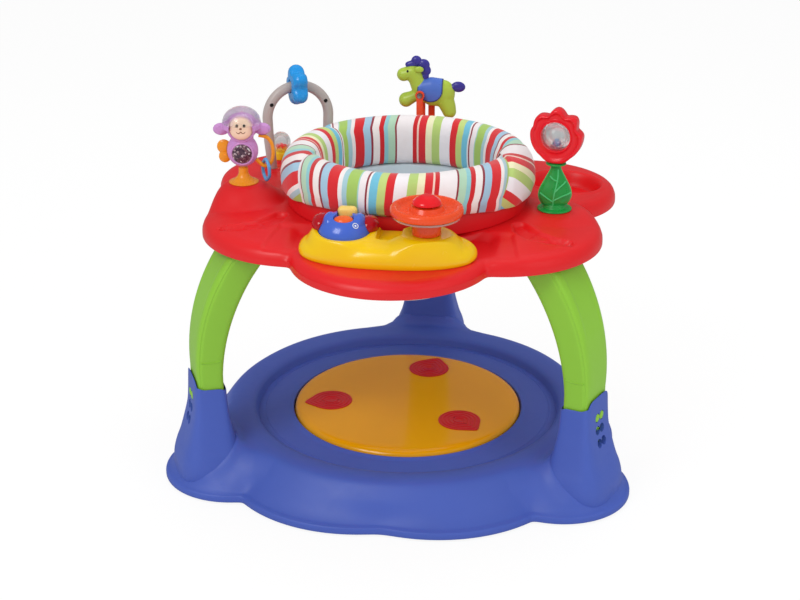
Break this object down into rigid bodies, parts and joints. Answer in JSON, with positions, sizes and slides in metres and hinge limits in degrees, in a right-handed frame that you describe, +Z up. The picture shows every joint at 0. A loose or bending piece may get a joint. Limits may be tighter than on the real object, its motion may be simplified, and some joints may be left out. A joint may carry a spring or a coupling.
{
  "type": "baby activity center",
  "caption": "Lobed base with a bounce pad, curved legs and a play tray round a padded seat that spins, with a steering wheel and other small moving toys.",
  "frame": {"origin": "on the floor, on the vertical axis that the seat and the bounce pad share, at the underside of the centre foot", "axes": "+Z up, -Y towards the front, where the steering wheel is, +X to the right of someone facing it"},
  "size_m": [0.7834, 0.8125, 0.6277],
  "materials": {
    "base_blue": "satin",
    "tray_red": "satin",
    "seat_red": "satin",
    "leg_lime": "satin",
    "pad_yellow": "glossy",
    "inlay_red": "glossy",
    "toy_yellow": "glossy",
    "dome_blue": "glossy",
    "clear_red": "clear",
    "orange": "glossy",
    "orange_red": "glossy",
    "pale_yellow": "glossy",
    "clear_pink": "translucent",
    "leaf_green": "glossy",
    "clear": "clear",
    "light_blue": "glossy",
    "sky_blue": "glossy",
    "amber": "satin",
    "lilac": "glossy",
    "peach": "satin",
    "warm_grey": "satin",
    "horse_lime": "satin",
    "indigo": "satin",
    "saddle_blue": "satin",
    "striped_fabric": "woven, striped and padded",
    "lining_fabric": "woven",
    "rubber": "matt",
    "dark_plastic": "matt",
    "steel": "plated"
  },
  "bodies": {
    "base": {"base_shell": "base_blue", "pad_carrier": "dark_plastic", "foot_left": "rubber", "foot_right": "rubber", "foot_rear": "rubber", "foot_centre": "rubber", "pad_buffer_1": "rubber", "pad_buffer_2": "rubber", "pad_buffer_3": "rubber"},
    "pad": {"pad_disc": "pad_yellow", "pad_inlay_left": "inlay_red", "pad_inlay_rear": "inlay_red", "pad_inlay_right": "inlay_red"},
    "upper": {"tray": "tray_red", "leg_left": "leg_lime", "leg_right": "leg_lime", "leg_rear": "leg_lime", "leg_bolt_left": "steel", "leg_bolt_right": "steel", "leg_bolt_rear": "steel", "toy_housing": "toy_yellow", "toy_base_plate": "dark_plastic", "battery_box": "dark_plastic", "dome_shell": "dome_blue", "lens_left": "clear_red", "lens_right": "clear_red", "flower_stem": "leaf_green", "monkey_base": "amber", "arch_tube": "warm_grey", "popper_base": "toy_yellow", "horse_post": "orange_red", "horse_pin": "steel"},
    "latch_left": {"leg_button_left": "leg_lime"},
    "latch_right": {"leg_button_right": "leg_lime"},
    "latch_rear": {"leg_button_rear": "leg_lime"},
    "seat": {"seat_ring": "seat_red", "seat_retainer": "seat_red", "seat_cover": "striped_fabric", "seat_sling": "lining_fabric"},
    "orange_button": {"dome_button_orange": "orange"},
    "yellow_button": {"dome_button_yellow": "pale_yellow"},
    "wheel": {"steering_column": "orange", "steering_wheel": "orange", "wheel_lower_rim": "clear_pink"},
    "horn": {"horn_button": "inlay_red"},
    "bloom": {"flower_head": "inlay_red"},
    "rattle": {"flower_ball": "clear", "ball_bead": "light_blue"},
    "monkey": {"monkey_body": "lilac", "monkey_face": "peach", "monkey_helmet": "clear", "monkey_wing": "amber", "monkey_arc": "amber"},
    "link": {"monkey_ring": "light_blue"},
    "gear": {"arch_gear": "sky_blue"},
    "popper": {"popper_dome": "clear"},
    "horse": {"horse_body": "horse_lime", "horse_mane": "indigo", "horse_tail": "indigo", "horse_saddle": "saddle_blue"}
  },
  "joints": [
    {"name": "pad_bounce", "type": "slide", "parent": "base", "child": "pad", "axis": [0, 0, 1], "range_m": [-0.01, 0], "stiffness_N_per_m": 9000, "springref_m": 0.003, "deforming": ["pad_buffer_1", "pad_buffer_2", "pad_buffer_3"]},
    {"name": "height_slide", "type": "slide", "parent": "base", "child": "upper", "axis": [0, 0, 1], "range_m": [-0.044, 0]},
    {"name": "seat_spin", "type": "hinge", "parent": "upper", "child": "seat", "pos_m": [0, 0, 0.449], "axis": [0, 0, 1], "continuous": true},
    {"name": "orange_press", "type": "slide", "parent": "upper", "child": "orange_button", "axis": [0, 0, -1], "range_m": [0, 0.0025], "stiffness_N_per_m": 300, "springref_m": -0.0015},
    {"name": "yellow_press", "type": "slide", "parent": "upper", "child": "yellow_button", "axis": [0, 0, -1], "range_m": [0, 0.0025], "stiffness_N_per_m": 300, "springref_m": -0.0015},
    {"name": "wheel_turn", "type": "hinge", "parent": "upper", "child": "wheel", "pos_m": [0.061, -0.265, 0.514], "axis": [0, 0, 1], "continuous": true},
    {"name": "horn_press", "type": "slide", "parent": "wheel", "child": "horn", "axis": [0, 0, -1], "range_m": [0, 0.0025], "stiffness_N_per_m": 300, "springref_m": -0.0015},
    {"name": "bloom_turn", "type": "hinge", "parent": "upper", "child": "bloom", "pos_m": [0.2475, -0.045, 0.5325], "axis": [0, 0, 1], "range_deg": [-45, 45]},
    {"name": "rattle_spin", "type": "hinge", "parent": "bloom", "child": "rattle", "pos_m": [0.2475, -0.045, 0.579], "axis": [0, 0, 1], "continuous": true},
    {"name": "monkey_spin", "type": "hinge", "parent": "upper", "child": "monkey", "pos_m": [-0.272, -0.04, 0.5023], "axis": [0, 0, 1], "continuous": true},
    {"name": "link_swing", "type": "hinge", "parent": "monkey", "child": "link", "pos_m": [-0.23437, -0.03471, 0.504], "axis": [0.9903, 0.1392, 0], "range_deg": [-12, 12]},
    {"name": "gear_spin", "type": "hinge", "parent": "upper", "child": "gear", "pos_m": [-0.2115, 0.138, 0.596], "axis": [0.9063, 0.4226, 0], "continuous": true},
    {"name": "popper_press", "type": "slide", "parent": "upper", "child": "popper", "axis": [0, 0, -1], "range_m": [0, 0.004], "stiffness_N_per_m": 200, "springref_m": -0.001},
    {"name": "horse_rock", "type": "hinge", "parent": "upper", "child": "horse", "pos_m": [-0.008, 0.26, 0.557], "axis": [0, 1, 0], "range_deg": [-20, 20]},
    {"name": "latch_left_press", "type": "slide", "parent": "upper", "child": "latch_left", "axis": [0.91, 0.4147, 0], "range_m": [0, 0.0055], "stiffness_N_per_m": 400, "springref_m": -0.002},
    {"name": "latch_right_press", "type": "slide", "parent": "upper", "child": "latch_right", "axis": [-0.91, 0.4147, 0], "range_m": [0, 0.0055], "stiffness_N_per_m": 400, "springref_m": -0.002},
    {"name": "latch_rear_press", "type": "slide", "parent": "upper", "child": "latch_rear", "axis": [0, -1, 0], "range_m": [0, 0.0055], "stiffness_N_per_m": 400, "springref_m": -0.002}
  ]
}
